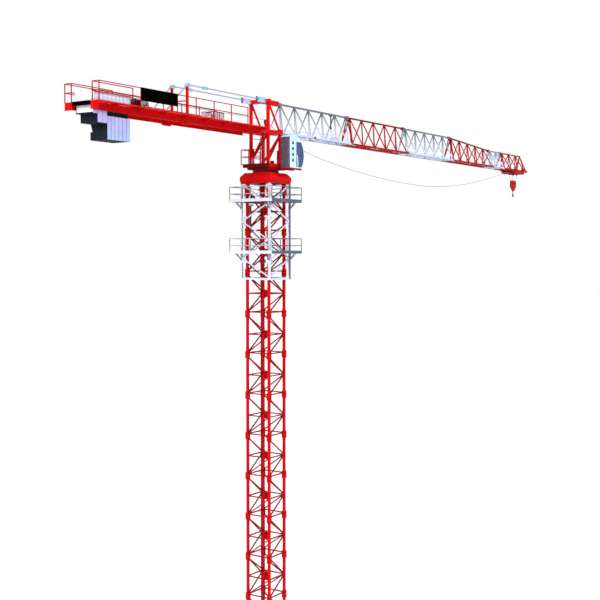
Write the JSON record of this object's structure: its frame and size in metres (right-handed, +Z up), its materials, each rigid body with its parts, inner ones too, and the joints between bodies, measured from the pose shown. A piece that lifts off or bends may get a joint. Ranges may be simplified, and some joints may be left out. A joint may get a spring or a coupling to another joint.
{
  "type": "flat-top tower crane, 1:2 scale model",
  "caption": "Flat-top tower crane with lattice mast, climbing cage, cab, long lattice jib, trolley with hook block, and a counter-jib with hanging ballast.",
  "frame": {"origin": "centre of the mast's foot on the ground", "axes": "+Z up, +X along the jib to its tip, cab on the -Y side"},
  "size_m": [31.905, 1.855, 22.9225],
  "materials": {
    "mast_paint": "gloss",
    "cage_paint": "satin",
    "jib_white": "satin",
    "ring_steel": "satin",
    "galvanised": "satin",
    "cab_paint": "gloss",
    "cab_glass": "polished",
    "board": "matte",
    "ballast": "rough concrete",
    "winch_paint": "satin",
    "rope": "satin",
    "sheave": "satin"
  },
  "bodies": {
    "mast": {"cage_platforms": "cage_paint", "cage_railings": "cage_paint", "climbing_cage_far": "cage_paint", "climbing_cage_front": "cage_paint", "climbing_cage_near": "cage_paint", "climbing_cage_rear": "cage_paint", "mast_base": "mast_paint", "mast_section_01": "mast_paint", "mast_section_02": "mast_paint", "mast_section_03": "mast_paint", "mast_section_04": "mast_paint", "mast_section_05": "mast_paint", "mast_section_06": "mast_paint", "mast_section_07": "mast_paint", "mast_section_08": "mast_paint", "mast_section_09": "mast_paint", "mast_section_10": "mast_paint", "mast_section_11": "mast_paint", "mast_section_12": "mast_paint", "mast_section_13": "mast_paint", "mast_section_14": "mast_paint", "slewing_ring_lower": "ring_steel", "slewing_support": "mast_paint"},
    "slewing_crane": {"ballast_short": "ballast", "ballast_tall": "ballast", "cab_bracket": "mast_paint", "cab_glass": "cab_glass", "cab_shell": "cab_paint", "cab_sides": "cab_paint", "counter_jib_deck": "galvanised", "counter_jib_frame": "mast_paint", "counter_jib_railing_far": "mast_paint", "counter_jib_railing_near": "mast_paint", "guide_sheaves": "sheave", "hoist_rope": "rope", "hoist_winch": "winch_paint", "jib_section_1": "jib_white", "jib_section_2": "mast_paint", "jib_section_3": "jib_white", "jib_section_4": "mast_paint", "jib_section_5": "jib_white", "jib_section_6": "mast_paint", "sign_board": "board", "slack_rope": "rope", "slewing_ring_upper": "ring_steel", "slewing_tower": "mast_paint", "tie_bars": "galvanised", "tie_posts": "mast_paint", "tower_head": "mast_paint", "tower_walkway": "mast_paint", "turntable": "mast_paint", "winch_drum": "winch_paint"},
    "trolley": {"trolley_frame": "mast_paint", "trolley_wheels": "sheave", "trolley_basket": "mast_paint", "rope_falls": "rope"},
    "hook_block": {"hook_block": "mast_paint", "block_sheaves": "sheave"},
    "hook": {"hook": "mast_paint"}
  },
  "joints": [
    {"name": "slew", "type": "hinge", "parent": "mast", "child": "slewing_crane", "pos_m": [0, 0, 20.457], "axis": [0, 0, 1], "continuous": true},
    {"name": "trolley_travel", "type": "slide", "parent": "slewing_crane", "child": "trolley", "axis": [1, 0, 0], "range_m": [-18.3, 0], "deforming": ["slack_rope"]},
    {"name": "hoist", "type": "slide", "parent": "trolley", "child": "hook_block", "axis": [0, 0, -1], "range_m": [0, 20], "deforming": ["rope_falls"]},
    {"name": "hook_swivel", "type": "hinge", "parent": "hook_block", "child": "hook", "pos_m": [21.5, 0, 20.8], "axis": [0, 0, 1], "continuous": true}
  ]
}
